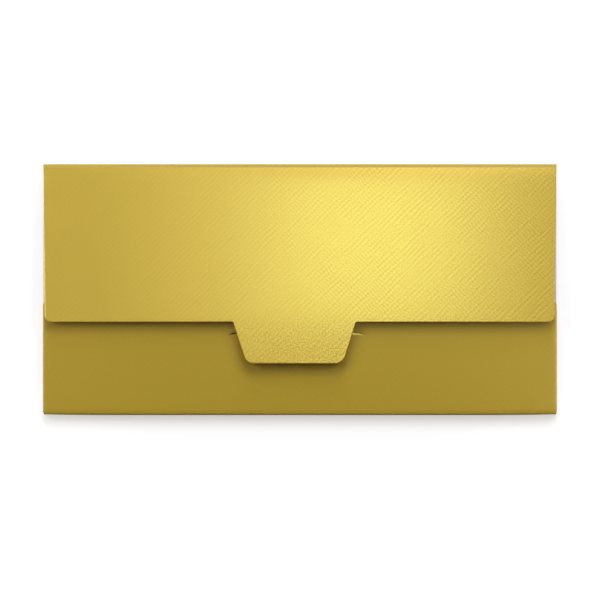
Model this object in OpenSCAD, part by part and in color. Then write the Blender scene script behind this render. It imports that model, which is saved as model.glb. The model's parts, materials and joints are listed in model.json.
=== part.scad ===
// Gift card holder: a long flat wallet folded from one blank of gold embossed board.
// A back panel carries a shallow glued pocket, and a flap with a tuck tongue closes over it.
// An insert glued to the back panel holds the gift card by its corners, above the pocket.
// It lies on its back: +Z is out of the front, +Y is towards the top fold, +X is to the right.
// The origin is in the middle of the resting face.

/* [Board] */
// Thickness of the board
board_t = 0.4; // [0.3:0.05:0.6]
// Inner radius of a fold that stays bent
fold_inner_r = 0.4; // [0.3:0.05:0.8]

/* [Body] */
// Width of the closed wallet
body_w = 215; // [180:1:240]
// Height of the closed wallet
body_h = 105; // [95:1:125]
// Depth of the pocket, from the resting face to the face of its front panel
pocket_d = 6.5; // [6:0.5:12]
// How far the cut sides of the panels stand in from the sides of the body
side_inset = 0.2; // [0.1:0.05:0.4]
// How far the cut sides of the front panel stand in from the sides of the body
front_inset = 0.3; // [0.1:0.05:0.5]
// Radius of the corners at the pocket's mouth
mouth_r = 2; // [1:0.5:4]

/* [Flap] */
// Length of the flap from its crease to its straight edge
flap_len = 65.4; // [58:0.2:72]
// Angle by which the untucked flap springs up from the front
flap_lift = 4; // [2:0.5:6]
// Room between the front panel and a flap that is pressed flat
flap_gap = 0.4; // [0.3:0.1:1]
// How much the flap's left side runs in towards its edge
flap_left_taper = 0.5; // [0:0.05:1.5]
// How much the flap's right side runs in towards its edge
flap_right_taper = 1.05; // [0:0.05:1.5]
// Radius of the flap's corners
flap_r = 3; // [1:0.5:6]
// How far the flap's edge reaches below the pocket's mouth
mouth_overlap = 9; // [6:0.5:14]

/* [Tongue] */
// Width of the tongue where it leaves the flap
tongue_w = 51.2; // [40:0.2:70]
// Length of the tongue below the flap's edge
tongue_len = 17.45; // [14:0.05:22]
// Angle of the tongue's sides from straight down
tongue_slope = 18; // [8:1:25]
// Middle of the tongue, to the left of the middle of the body
tongue_left = 2.3; // [0:0.1:5]
// Radius of the tongue's free corners
tongue_r = 4.2; // [2:0.1:6]
// Radius of the inside corners at the tongue's root
tongue_root_r = 0.8; // [0.4:0.1:2]

/* [Tuck slit] */
// How far below the flap's edge the slit is cut
slit_drop = 4.95; // [3:0.05:8]
// Room for the tongue at each end of the slit
slit_clear = 4.5; // [2:0.1:6]
// Width of the cut
slit_w = 0.5; // [0.4:0.05:1]
// Middle of the slit, to the right of the middle of the tongue
slit_right = 0.9; // [0:0.1:2]
// Radius of the drooping ends of the slit
slit_end_r = 14; // [8:0.5:20]
// Angle through which each end of the slit turns down
slit_end_turn = 20; // [10:1:30]

/* [Glue tabs] */
// Width of a glue tab, from the side of the body
tab_w = 12; // [9:0.5:20]
// Angle at which the ends of a tab are mitred
tab_mitre = 28; // [15:1:40]
// Radius of a tab's free corners
tab_r = 2; // [1:0.5:4]
// How far a tab stops below the pocket's mouth
tab_stop = 2; // [1:0.5:5]
// Room between the bottom fold and the lower end of a side gusset
corner_gap = 0.3; // [0.2:0.05:0.6]
// Width of a line of glue
glue_w = 5; // [3:0.5:6]
// Thickness of the glue
glue_t = 0.1; // [0.05:0.05:0.2]
// How far the glue stops from the ends of the tab's inner edge
glue_stop = 1.5; // [1:0.5:4]

/* [Card insert] */
// Thickness of the insert's board
insert_t = 0.3; // [0.2:0.05:0.4]
// Room between the insert and each side of the body
insert_side_gap = 4.5; // [3:0.5:10]
// Room between the insert and the top crease
insert_top_gap = 4.3; // [2:0.1:10]
// Room between the insert and the bottom fold
insert_low_gap = 0.5; // [0.3:0.1:3]
// Radius of the insert's corners
insert_r = 3; // [1:0.5:6]
// Width of the gift card that the insert holds
card_w = 85.6; // [80:0.1:90]
// Height of the gift card that the insert holds
card_h = 54; // [50:0.1:58]
// How far the card's top edge lies below the top of the insert
card_drop = 3; // [1:0.5:8]
// How far each corner of the card reaches under its slit
card_hold = 6; // [4:0.5:10]
// Room for the card at each end of a corner slit
card_clear = 1; // [0.5:0.1:2]
// Width of a corner slit
card_slit_w = 0.5; // [0.4:0.05:1]
// Width of a strip of glue under the insert
strip_w = 6; // [4:0.5:10]
// Length of a strip of glue under the insert
strip_len = 50; // [30:1:70]
// How far the glue strips stand in from the sides of the insert
strip_in = 14; // [8:0.5:24]

/* [Hidden] */

gold = "#cdb252";
shaded_gold = "#a88f3c";
glue_white = "#efe9d8";
insert_cream = "#f1ead8";
arc_steps = 10;
$fn = 64;

// A fold that stays bent turns from one flat panel into the next within this distance
fold_r = fold_inner_r + board_t;

side_x = body_w / 2;
bottom_y = -body_h / 2;
top_y = body_h / 2;
fold_x = side_x - fold_r;
fold_y = bottom_y + fold_r;

// The two creases that hinge are at the inner corners of the panels that meet there
spine_crease_z = board_t;
crease_y = top_y - board_t;
flap_crease_z = pocket_d + flap_gap;

flap_edge_y = crease_y - flap_len * cos(flap_lift);
mouth_y = flap_edge_y + mouth_overlap;
slit_y = flap_edge_y - slit_drop;

// Levels of the layers at the sides of the pocket, from the front down
front_z = pocket_d - board_t;
tab_top_z = front_z - glue_t;
tab_z = tab_top_z - board_t;

gusset_low_y = fold_y + corner_gap;
gusset_high_y = mouth_y - tab_stop;
tab_run = tab_w - fold_r;
tab_rise = tab_run * tan(tab_mitre);

insert_z = board_t + glue_t;
insert_x = side_x - insert_side_gap;
insert_low_y = fold_y + insert_low_gap;
insert_high_y = crease_y - insert_top_gap;
card_mid_y = insert_high_y - card_drop - card_h / 2;

tongue_x = -tongue_left;
tongue_tip_w = tongue_w - 2 * tongue_len * tan(tongue_slope);
tongue_w_at_slit = tongue_w - 2 * slit_drop * tan(tongue_slope);
slit_x = tongue_x + slit_right;
slit_len = tongue_w_at_slit + 2 * slit_clear;
slit_flat = slit_len - 2 * slit_end_r * sin(slit_end_turn);

function unit(v) = v / norm(v);

function reversed(list) = [for (i = [len(list) - 1:-1:0]) list[i]];

function mirrored_x(points) = [for (p = reversed(points)) [-p.x, p.y]];

// The points of the arc that rounds one corner of an outline
function corner_arc(before, corner, after, r) =
    let (
        back = unit(before - corner),
        on = unit(after - corner),
        half = acos(back * on) / 2,
        centre = corner + unit(back + on) * r / sin(half),
        first = corner + back * r / tan(half) - centre,
        last = corner + on * r / tan(half) - centre
    )
    [for (i = [0:arc_steps]) centre + r * unit(first * (1 - i / arc_steps) + last * i / arc_steps)];

// An outline given as [x, y, radius], with each radius above 0 drawn as an arc
function rounded(outline) =
    let (
        n = len(outline),
        corners = [for (p = outline) [p.x, p.y]]
    )
    [for (i = [0:n - 1])
        each outline[i].z == 0
            ? [corners[i]]
            : corner_arc(corners[(i + n - 1) % n], corners[i], corners[(i + 1) % n], outline[i].z)];

// One long edge of the slit's right half, offset from its middle line
function slit_edge(offset) =
    [for (i = [0:arc_steps])
        let (turn = slit_end_turn * i / arc_steps)
        [slit_flat / 2 + (slit_end_r + offset) * sin(turn), (slit_end_r + offset) * cos(turn) - slit_end_r]];

// A flat piece of board with this outline, its inner face at z = 0
module board(outline) {
    linear_extrude(board_t) polygon(outline);
}

// One quarter of a bent fold, open towards -x and +y of its centre when turn is 0
module fold_section(turn) {
    rotate(turn) {
        intersection() {
            difference() {
                circle(fold_r);
                circle(fold_inner_r);
            }
            translate([0, -2 * fold_r]) square(2 * fold_r);
        }
    }
}

// A wall standing between two bent folds: its outer face is at x = 0, and it rises along y
module wall_section(height) {
    translate([-fold_r, fold_r]) fold_section(0);
    translate([-board_t, fold_r]) square([board_t, height - 2 * fold_r]);
    translate([-fold_r, height - fold_r]) fold_section(90);
}

module back_panel() {
    cut_x = side_x - side_inset;
    right = [[fold_x, fold_y], [fold_x, gusset_high_y], [cut_x, gusset_high_y], [cut_x, crease_y]];
    color(gold) board(concat(right, mirrored_x(right)));
}

module bottom_spine() {
    color(shaded_gold)
        translate([-fold_x, bottom_y, 0])
            mirror([0, 1, 0])
                rotate([90, 0, 90])
                    linear_extrude(2 * fold_x) wall_section(pocket_d);
}

module front_panel() {
    cut_x = side_x - front_inset;
    outline = rounded([
        [-cut_x, fold_y, 0],
        [cut_x, fold_y, 0],
        [cut_x, mouth_y, mouth_r],
        [-cut_x, mouth_y, mouth_r]
    ]);
    color(shaded_gold)
        translate([0, 0, front_z])
            difference() {
                board(outline);
                translate([slit_x, slit_y, -board_t]) linear_extrude(3 * board_t) tuck_slit();
            }
}

// The cut that takes the tongue: straight in the middle, with both ends turned down
module tuck_slit() {
    upper = slit_edge(slit_w / 2);
    lower = slit_edge(-slit_w / 2);
    polygon(concat(mirrored_x(upper), upper, reversed(lower), reversed(mirrored_x(lower))));
}

module gusset() {
    length = gusset_high_y - gusset_low_y;
    translate([side_x, gusset_high_y, 0])
        rotate([90, 0, 0])
            linear_extrude(length) wall_section(tab_top_z);
}

module glue_tab() {
    outline = rounded([
        [fold_x, gusset_low_y, 0],
        [fold_x, gusset_high_y, 0],
        [side_x - tab_w, gusset_high_y - tab_rise, tab_r],
        [side_x - tab_w, gusset_low_y + tab_rise, tab_r]
    ]);
    translate([0, 0, tab_z]) board(outline);
}

module glue_line() {
    middle_x = side_x - (tab_w + fold_r) / 2;
    low_y = gusset_low_y + tab_rise + glue_stop;
    high_y = gusset_high_y - tab_rise - glue_stop;
    outline = rounded([
        [middle_x - glue_w / 2, low_y, glue_w / 3],
        [middle_x + glue_w / 2, low_y, glue_w / 3],
        [middle_x + glue_w / 2, high_y, glue_w / 3],
        [middle_x - glue_w / 2, high_y, glue_w / 3]
    ]);
    translate([0, 0, tab_top_z]) linear_extrude(glue_t) polygon(outline);
}

// The insert has a diagonal slit for each corner of the card
module card_insert() {
    outline = rounded([
        [-insert_x, insert_low_y, insert_r],
        [insert_x, insert_low_y, insert_r],
        [insert_x, insert_high_y, insert_r],
        [-insert_x, insert_high_y, insert_r]
    ]);
    slit_run = 2 * (card_hold + card_clear);
    slit_in = card_hold * sin(45);
    color(insert_cream)
        translate([0, 0, insert_z])
            linear_extrude(insert_t)
                difference() {
                    polygon(outline);
                    for (side = [-1, 1], end = [-1, 1])
                        translate([side * (card_w / 2 - slit_in), card_mid_y + end * (card_h / 2 - slit_in)])
                            rotate(-45 * side * end)
                                square([slit_run, card_slit_w], center = true);
                }
}

module insert_glue() {
    middle_y = (insert_low_y + insert_high_y) / 2;
    color(glue_white)
        for (side = [-1, 1])
            translate([side * (insert_x - strip_in) - strip_w / 2, middle_y - strip_len / 2, board_t])
                cube([strip_w, strip_len, glue_t]);
}

module left_gusset() {
    color(shaded_gold) mirror([1, 0, 0]) gusset();
}

module right_gusset() {
    color(shaded_gold) gusset();
}

module left_glue_tab() {
    color(shaded_gold) mirror([1, 0, 0]) glue_tab();
}

module right_glue_tab() {
    color(shaded_gold) glue_tab();
}

module left_glue_line() {
    color(glue_white) mirror([1, 0, 0]) glue_line();
}

module right_glue_line() {
    color(glue_white) glue_line();
}

module top_spine() {
    half_w = side_x - side_inset;
    rise = flap_crease_z - spine_crease_z;
    outline = [[-half_w, 0], [half_w, 0], [half_w, rise], [-half_w, rise]];
    color(gold)
        translate([0, top_y, spine_crease_z])
            rotate([90, 0, 0])
                board(outline);
}

module closure_flap() {
    top_x = side_x - side_inset;
    left_x = -top_x + flap_left_taper;
    right_x = top_x - flap_right_taper;
    tip_y = -flap_len - tongue_len;
    outline = rounded([
        [-top_x, 0, 0],
        [left_x, -flap_len, flap_r],
        [tongue_x - tongue_w / 2, -flap_len, tongue_root_r],
        [tongue_x - tongue_tip_w / 2, tip_y, tongue_r],
        [tongue_x + tongue_tip_w / 2, tip_y, tongue_r],
        [tongue_x + tongue_w / 2, -flap_len, tongue_root_r],
        [right_x, -flap_len, flap_r],
        [top_x, 0, 0]
    ]);
    color(gold)
        translate([0, crease_y, flap_crease_z])
            rotate([-flap_lift, 0, 0])
                board(outline);
}

back_panel();
bottom_spine();
front_panel();
left_gusset();
right_gusset();
left_glue_tab();
right_glue_tab();
left_glue_line();
right_glue_line();
card_insert();
insert_glue();
top_spine();
closure_flap();
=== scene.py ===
import json
import math

import bmesh
import bpy
import numpy as np
from mathutils import Matrix, Vector
from mathutils.geometry import delaunay_2d_cdt


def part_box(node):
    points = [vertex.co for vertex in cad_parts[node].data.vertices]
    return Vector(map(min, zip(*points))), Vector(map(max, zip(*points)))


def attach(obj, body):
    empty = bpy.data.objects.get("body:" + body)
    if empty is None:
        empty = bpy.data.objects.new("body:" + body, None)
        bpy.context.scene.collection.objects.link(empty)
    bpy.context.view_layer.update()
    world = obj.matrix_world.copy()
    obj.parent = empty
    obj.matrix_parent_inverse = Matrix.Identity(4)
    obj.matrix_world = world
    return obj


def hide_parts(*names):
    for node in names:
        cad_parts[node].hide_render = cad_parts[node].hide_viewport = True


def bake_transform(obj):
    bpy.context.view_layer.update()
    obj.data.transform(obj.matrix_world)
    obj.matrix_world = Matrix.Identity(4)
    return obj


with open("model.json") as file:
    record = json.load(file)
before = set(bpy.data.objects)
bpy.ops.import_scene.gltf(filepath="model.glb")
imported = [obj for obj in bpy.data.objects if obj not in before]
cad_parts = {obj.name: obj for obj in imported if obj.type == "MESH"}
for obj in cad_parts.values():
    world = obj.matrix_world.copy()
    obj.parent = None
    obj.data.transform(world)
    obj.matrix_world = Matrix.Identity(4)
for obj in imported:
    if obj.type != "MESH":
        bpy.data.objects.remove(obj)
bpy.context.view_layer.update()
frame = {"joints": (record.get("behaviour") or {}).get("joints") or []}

MM = 0.001
QUARTER_TURN = math.pi / 2

# Sizes that part.scad also has, in metres
BOARD = 0.4 * MM
BODY_WIDTH = 215 * MM
SIDE_INSET = 0.2 * MM
FRONT_INSET = 0.3 * MM
FOLD_RADIUS = 0.8 * MM
MOUTH_RADIUS = 2 * MM
FLAP_RIGHT_TAPER = 1.05 * MM
FLAP_RADIUS = 3 * MM
TONGUE_WIDTH = 51.2 * MM
TONGUE_SLOPE = math.radians(18)
TONGUE_LEFT = 2.3 * MM
TONGUE_RADIUS = 4.2 * MM
TONGUE_ROOT_RADIUS = 0.8 * MM
SLIT_X = -1.4 * MM
SLIT_Y = -18.0907 * MM
SLIT_LENGTH = 56.9833 * MM
SLIT_END_RADIUS = 14 * MM
SLIT_END_TURN = math.radians(20)
TAB_WIDTH = 12 * MM
TAB_MITRE = math.radians(28)
TAB_RADIUS = 2 * MM
GLUE_WIDTH = 5 * MM
INSERT_GLUE_WIDTH = 6 * MM
INSERT_BOARD = 0.3 * MM
INSERT_RADIUS = 3 * MM
CARD_WIDTH = 85.6 * MM
CARD_HEIGHT = 54 * MM
CARD_HOLD = 6 * MM
CARD_CLEAR = 1 * MM
CARD_DROP = 3 * MM

# Sizes read more finely from the photograph than part.scad has them
FLAP_LENGTH = 65.87 * MM
FLAP_LEFT_TAPER = 0.68 * MM
TONGUE_LENGTH = 17.34 * MM

# A little less than in part.scad, so that the bent flap stays inside the CAD's box
FLAP_LIFT = math.radians(3.78)

# Bends and bows of the board
CREASE_INNER_RADIUS = 0.15 * MM
CREASE_LEG = 1.2 * MM
FLAP_LEAN_AT_CREASE = math.radians(11)
FLAP_LEAN_FADE = 2.6 * MM
TONGUE_LIFT = math.radians(3.1)
TONGUE_BEND_START = 58 * MM
FRONT_DROP = 0.12 * MM
FRONT_DROP_RUN = 1.5 * MM
SIDE_DROP = 0.03 * MM
SIDE_DROP_RUN = 2 * MM
SPINE_BULGE = 0.34 * MM
BULGE_FLATNESS = 10.0
BACK_INSET = 0.02 * MM
NOTCH_GAP = 0.05 * MM

# How far the foil rolls over a cut edge
CUT_BEVEL = 0.1 * MM
RIM_BEVEL = 0.24 * MM
TONGUE_BEVEL = 0.26 * MM
NO_BEVEL = 0.001 * MM

# The tuck slit, nearly closed, with its lips pressed in beside its ends
SLIT_LEFT_WIDTH = 0.42 * MM
SLIT_RIGHT_WIDTH = 0.22 * MM
SLIT_STEPS = 56
SLIT_END_POWER = 24
SLIT_END_NARROWING = 0.6
SLIT_UPPER_BEVEL = 0.07 * MM
SLIT_LOWER_BEVEL = 0.08 * MM
SLIT_RIGHT_END_BEVEL = 0.05 * MM
SLIT_RIGHT_END = 0.7
LIP_SINK = 0.1 * MM
LIP_CURL = 0.3 * MM
LIP_START = 0.6
LIP_FULLNESS = 0.8
LIP_LEFT_SHARE = 0.45
LIP_UPPER_SHARE = 0.5

# The card slits of the insert, whose outer lips stand a little open
CARD_SLIT_HALF_WIDTH = 0.14 * MM
CARD_SLIT_BEVEL = 0.05 * MM
CARD_SLIT_STEPS = 14
CARD_SLIT_LIFT = 0.45 * MM
CARD_SLIT_LIFT_RUN = 3 * MM

# Where these panels start on the flat blank, apart from each other so that no emboss repeats
FRONT_BLANK = 0.3
BACK_BLANK = 0.1
TAB_BLANK = 0.5

crease = {joint["name"]: Vector(joint["pos_m"]) for joint in frame["joints"]}
SPINE_CREASE = crease["spine_crease"]
FLAP_CREASE = crease["flap_crease"]
CREASE_Y = SPINE_CREASE.y
SIDE_X = BODY_WIDTH / 2
CUT_FRONT_X = SIDE_X - FRONT_INSET
FOLD_X = SIDE_X - FOLD_RADIUS
front_low, front_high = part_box("front_panel")
spine_low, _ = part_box("bottom_spine")
gusset_low, gusset_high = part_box("right_gusset")
tab_low, tab_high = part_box("right_glue_tab")
glue_low, glue_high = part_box("right_glue_line")
insert_low, insert_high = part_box("card_insert")
FOLD_Y = front_low.y
MOUTH_Y = front_high.y
FRONT_Z = front_low.z


# Node trees

SOCKETS = {
    float: "NodeSocketFloat",
    int: "NodeSocketInt",
    tuple: "NodeSocketVector",
    type(None): "NodeSocketMaterial",
}
ORIGIN = (0.0, 0.0, 0.0)


class Tree:
    """Short calls that add nodes to one node tree and join them."""

    def __init__(self, tree):
        self.tree = tree

    def node(self, kind, **settings):
        made = self.tree.nodes.new(kind)
        for name, value in settings.items():
            setattr(made, name, value)
        return made

    def feed(self, socket, value):
        if isinstance(value, bpy.types.NodeSocket):
            self.tree.links.new(value, socket)
        else:
            socket.default_value = value

    def fill(self, node, *first, **named):
        """Feeds a node's first inputs in their order and others by name, with _ for a space."""
        for index, value in enumerate(first):
            self.feed(node.inputs[index], value)
        for name, value in named.items():
            self.feed(node.inputs[name.replace("_", " ")], value)
        return node

    def calc(self, operation, *values, clamp=False):
        made = self.node("ShaderNodeMath", operation=operation, use_clamp=clamp)
        return self.fill(made, *values).outputs[0]

    def chain(self, operation, first, *others):
        for other in others:
            first = self.calc(operation, first, other)
        return first

    def plus(self, *values):
        return self.chain("ADD", *values)

    def times(self, *values):
        return self.chain("MULTIPLY", *values)

    def minus(self, value, other):
        return self.calc("SUBTRACT", value, other)

    def over(self, value, other):
        return self.calc("DIVIDE", value, other)

    def parts(self, vector):
        return tuple(self.fill(self.node("ShaderNodeSeparateXYZ"), vector).outputs)

    def joined(self, x, y, z):
        return self.fill(self.node("ShaderNodeCombineXYZ"), x, y, z).outputs[0]

    def ramp(self, value, low, high, to_low=0.0, to_high=1.0):
        made = self.node("ShaderNodeMapRange", interpolation_type="SMOOTHSTEP")
        return self.fill(made, value, low, high, to_low, to_high).outputs[0]

    def noise(self, vector, scale=1.0, detail=0.0, dimensions="3D"):
        made = self.node("ShaderNodeTexNoise", noise_dimensions=dimensions)
        return self.fill(made, Vector=vector, Scale=scale, Detail=detail).outputs[0]


def node_group(kind, name, inputs, outputs):
    """A node group, its short calls and its sockets; an input's default sets the type of its socket."""
    tree = bpy.data.node_groups.new(name, kind)
    for entry, default in inputs.items():
        socket = tree.interface.new_socket(entry, in_out="INPUT", socket_type=SOCKETS[type(default)])
        if default is not None:
            socket.default_value = default
    result = "NodeSocketGeometry" if kind == "GeometryNodeTree" else "NodeSocketFloat"
    for entry in outputs:
        tree.interface.new_socket(entry, in_out="OUTPUT", socket_type=result)
    t = Tree(tree)
    return tree, t, t.node("NodeGroupInput").outputs, t.node("NodeGroupOutput").inputs


def linked(name, data):
    """A new object of the scene that holds this data."""
    made = bpy.data.objects.new(name, data)
    bpy.context.scene.collection.objects.link(made)
    return made


# Pieces grown by geometry nodes

# The outer layers of a folded board, as a share of its thickness from the middle
SKIN_SHARE = 0.45
SKIN_LAYERS = 3

# The section of a glue bead, how it narrows at its ends, and how often its edge wavers
BEAD_POINTS = {"Vertices_X": 13, "Vertices_Y": 61, "Vertices_Z": 5}
BEAD_SIDE_CURVE = 0.35
BEAD_TOP_CURVE = 0.7
BEAD_END_POWER = 12.0
BEAD_END_TAPER = 0.55
BEAD_WAVES = 5.0
BEAD_WAVE_DETAIL = 2.0
GLUE_LINE_SEED = 3.0
INSERT_GLUE_SEED = 9.0

SHARP_ANGLE = math.radians(32)


def end_growth(t, result, shape, position, materials):
    """Ends a geometry tree: its points go to their places, and each material to its faces."""
    moved = t.fill(t.node("GeometryNodeSetPosition"), Geometry=shape, Position=position)
    real = t.fill(t.node("GeometryNodeRealizeInstances"), moved.outputs[0])
    painted = real.outputs[0]
    for material, faces in materials:
        made = t.fill(t.node("GeometryNodeSetMaterial"), Geometry=painted, Material=material)
        if faces is not None:
            t.fill(made, Selection=faces)
        painted = made.outputs[0]
    t.feed(result[0], painted)


def folded_board_tree():
    """Geometry nodes: a strip of board bent twice round parallel creases, with a wall between."""
    tree, t, given, result = node_group("GeometryNodeTree", "folded_board", {
        "Width": 0.1, "Thickness": BOARD, "Inner Radius": BOARD, "First Leg": 0.0,
        "First Bend": QUARTER_TURN, "Wall": 0.005, "Second Bend": QUARTER_TURN, "Second Leg": 0.0,
        "Bulge": 0.0, "Blank Start": 0.0, "Rows": 40, "Columns": 60,
        "Foil": None, "Core": None, "Inside": None,
    }, ["Geometry"])
    thickness = given["Thickness"]
    first_bend = given["First Bend"]
    second_bend = given["Second Bend"]
    radius = t.calc("MULTIPLY_ADD", thickness, 0.5, given["Inner Radius"])
    first_arc = t.times(radius, first_bend)
    after_first = t.plus(first_arc, given["Wall"])
    bent = t.plus(after_first, t.times(radius, second_bend))
    total = t.plus(bent, given["First Leg"], given["Second Leg"])
    plate = t.fill(
        t.node("GeometryNodeMeshCube"), Size=t.joined(total, given["Width"], thickness),
        Vertices_X=given["Rows"], Vertices_Y=given["Columns"], Vertices_Z=SKIN_LAYERS,
    )
    across, along, depth = t.parts(t.node("GeometryNodeInputPosition").outputs[0])
    run = t.minus(t.calc("MULTIPLY_ADD", total, 0.5, across), given["First Leg"])

    def stored(geometry, name, kind, domain, value):
        made = t.node("GeometryNodeStoreNamedAttribute", data_type=kind, domain=domain)
        return t.fill(made, Geometry=geometry, Name=name, Value=value).outputs[0]

    blank = t.joined(along, t.plus(run, given["Blank Start"]), 0.0)
    shape = stored(plate.outputs["Mesh"], "blank", "FLOAT_VECTOR", "POINT", blank)
    shape = stored(shape, "skin", "FLOAT", "FACE", t.over(depth, thickness))

    # How far each point has gone along the leg, the bend, the wall, the second bend and the second leg
    past_leg = t.calc("MAXIMUM", run, 0.0)
    lead = t.calc("MINIMUM", run, 0.0)
    turn_a = t.calc("MINIMUM", t.over(past_leg, radius), first_bend)
    rise = t.calc("MINIMUM", t.calc("MAXIMUM", t.minus(run, first_arc), 0.0), given["Wall"])
    past_wall = t.calc("MAXIMUM", t.minus(run, after_first), 0.0)
    turn_b = t.calc("MINIMUM", t.over(past_wall, radius), second_bend)
    tail = t.calc("MAXIMUM", t.minus(run, bent), 0.0)
    end_angle = t.plus(first_bend, second_bend)
    angle_b = t.plus(first_bend, turn_b)
    heading = t.plus(turn_a, turn_b)

    def share_of(length, operation, angle):
        return t.times(length, t.calc(operation, angle))

    arc_b_out = t.minus(t.calc("SINE", angle_b), t.calc("SINE", first_bend))
    arc_b_up = t.minus(t.calc("COSINE", first_bend), t.calc("COSINE", angle_b))
    out = t.plus(
        lead, share_of(radius, "SINE", turn_a), share_of(rise, "COSINE", first_bend),
        t.times(radius, arc_b_out), share_of(tail, "COSINE", end_angle),
    )
    up = t.plus(
        t.minus(radius, share_of(radius, "COSINE", turn_a)), share_of(rise, "SINE", first_bend),
        t.times(radius, arc_b_up), share_of(tail, "SINE", end_angle),
    )
    # The wall swells between its bends, and stays flat at the two ends of the piece
    side_share = t.over(t.times(along, 2.0), given["Width"])
    middle = t.minus(1.0, t.calc("POWER", t.calc("ABSOLUTE", side_share), BULGE_FLATNESS))
    level = t.calc("MINIMUM", t.over(past_leg, bent), 1.0)
    swell = t.calc("SINE", t.times(level, math.pi))
    bulge = t.times(t.times(given["Bulge"], middle), t.times(swell, swell))
    reach = t.minus(depth, bulge)
    position = t.joined(
        t.minus(out, share_of(reach, "SINE", heading)), along,
        t.plus(up, share_of(reach, "COSINE", heading)),
    )
    skin = t.fill(t.node("GeometryNodeInputNamedAttribute", data_type="FLOAT"), Name="skin")
    layer = skin.outputs["Attribute"]
    end_growth(t, result, shape, position, [
        (given["Core"], None),
        (given["Foil"], t.calc("LESS_THAN", layer, -SKIN_SHARE)),
        (given["Inside"], t.calc("GREATER_THAN", layer, SKIN_SHARE)),
    ])
    return tree


def glue_bead_tree():
    """Geometry nodes: a flat pressed bead of glue along Y, with a wavering edge."""
    tree, t, given, result = node_group("GeometryNodeTree", "glue_bead", {
        "Length": 0.03, "Width": GLUE_WIDTH, "Thickness": 0.0001, "Waver": 0.16,
        "Seed": GLUE_LINE_SEED, "Material": None,
    }, ["Geometry"])
    block = t.fill(t.node("GeometryNodeMeshCube"), Size=t.joined(2.0, 2.0, 2.0), **BEAD_POINTS)
    x, y, z = t.parts(t.node("GeometryNodeInputPosition").outputs[0])
    # A square section becomes a lens: the corners are drawn in along both axes
    narrow = t.calc("SQRT", t.minus(1.0, t.times(z, z, BEAD_SIDE_CURVE)))
    flat = t.calc("SQRT", t.minus(1.0, t.times(x, x, BEAD_TOP_CURVE)))
    ends = t.calc("POWER", t.calc("ABSOLUTE", y), BEAD_END_POWER)
    taper = t.minus(1.0, t.times(ends, BEAD_END_TAPER))
    wave_place = t.joined(t.times(y, BEAD_WAVES), t.plus(given["Seed"], x), 0.0)
    wave = t.noise(wave_place, detail=BEAD_WAVE_DETAIL, dimensions="2D")
    waver = t.minus(1.0, t.times(wave, given["Waver"]))
    half_width = t.times(given["Width"], t.times(waver, 0.5))
    position = t.joined(
        t.times(t.times(x, narrow), t.times(half_width, taper)),
        t.times(y, given["Length"], 0.5),
        t.times(t.times(z, flat), t.times(given["Thickness"], 0.5)),
    )
    end_growth(t, result, block.outputs["Mesh"], position, [(given["Material"], None)])
    return tree


def grown(name, tree, place, **values):
    """Runs a node tree with these inputs, and returns a plain piece with its place in its mesh."""
    start_mesh = bpy.data.meshes.new(name + "_start")
    grower = linked(name + "_start", start_mesh)
    modifier = grower.modifiers.new("tree", "NODES")
    modifier.node_group = tree
    items = tree.interface.items_tree
    sockets = {item.name: item.identifier for item in items if item.in_out == "INPUT"}
    for key, value in values.items():
        modifier[sockets[key.replace("_", " ")]] = value
    evaluated = grower.evaluated_get(bpy.context.evaluated_depsgraph_get())
    mesh = bpy.data.meshes.new_from_object(evaluated)
    grower.modifiers.remove(modifier)
    bpy.data.objects.remove(grower)
    bpy.data.meshes.remove(start_mesh)
    mesh.transform(place)
    if place.determinant() < 0:
        mesh.flip_normals()
    if "skin" in mesh.attributes:
        mesh.attributes.remove(mesh.attributes["skin"])
    return shown(name, mesh)


def shown(name, mesh):
    """Links a finished mesh as a smooth piece whose sharp corners stay crisp."""
    mesh.name = name
    mesh.shade_smooth()
    mesh.set_sharp_from_angle(angle=SHARP_ANGLE)
    return linked(name, mesh)


def placed(piece, body, node):
    """Lets a piece ride on its body in place of a CAD node."""
    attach(piece, body)
    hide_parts(node)


# Board cut to an outline

# Rings of points from the outer face, round the cut, to the inner face: each one's share of the
# bevel, share of the board's height, and material, which is 0 outside, 1 in the cut and 2 inside
RINGS = (
    (1.7, 1.0, 0), (1.0, 1.0, 0), (0.6, 0.95, 0), (0.28, 0.82, 0), (0.06, 0.62, 0), (0.0, 0.42, 1),
    (0.0, 0.12, 1), (0.2, 0.0, 2), (0.7, 0.0, 2),
)
ARC_STEPS = 10
SHARPEST_CORNER = 0.35
SAME_SPOT = 1e-7
TRIANGLE_SLACK = 1e-9


def around(loop):
    """Each entry of a closed loop with the one after it."""
    return zip(loop, loop[1:] + loop[:1])


def corner_arc(before, corner, after, radius):
    back = (before - corner).normalized()
    on = (after - corner).normalized()
    half = math.acos(max(-1.0, min(1.0, back.dot(on)))) / 2
    centre = corner + (back + on).normalized() * radius / math.sin(half)
    first = corner + back * radius / math.tan(half) - centre
    last = corner + on * radius / math.tan(half) - centre
    shares = [step / ARC_STEPS for step in range(ARC_STEPS + 1)]
    return [centre + radius * (first * (1 - share) + last * share).normalized() for share in shares]


def rounded(corners):
    """An outline from (x, y, radius, bevel): its points, each with the bevel of the cut edge there."""
    points = []
    for index, (x, y, radius, bevel) in enumerate(corners):
        here = Vector((x, y))
        if radius == 0:
            points.append((here, bevel))
            continue
        before = Vector(corners[index - 1][:2])
        after = Vector(corners[(index + 1) % len(corners)][:2])
        points += [(point, bevel) for point in corner_arc(before, here, after, radius)]
    return points


def turned_over(outline, grid):
    """An outline and its grid on the other side of the middle."""
    turned = [(Vector((-point.x, point.y)), bevel) for point, bevel in reversed(outline)]
    return turned, [(-x, y) for x, y in grid]


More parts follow.
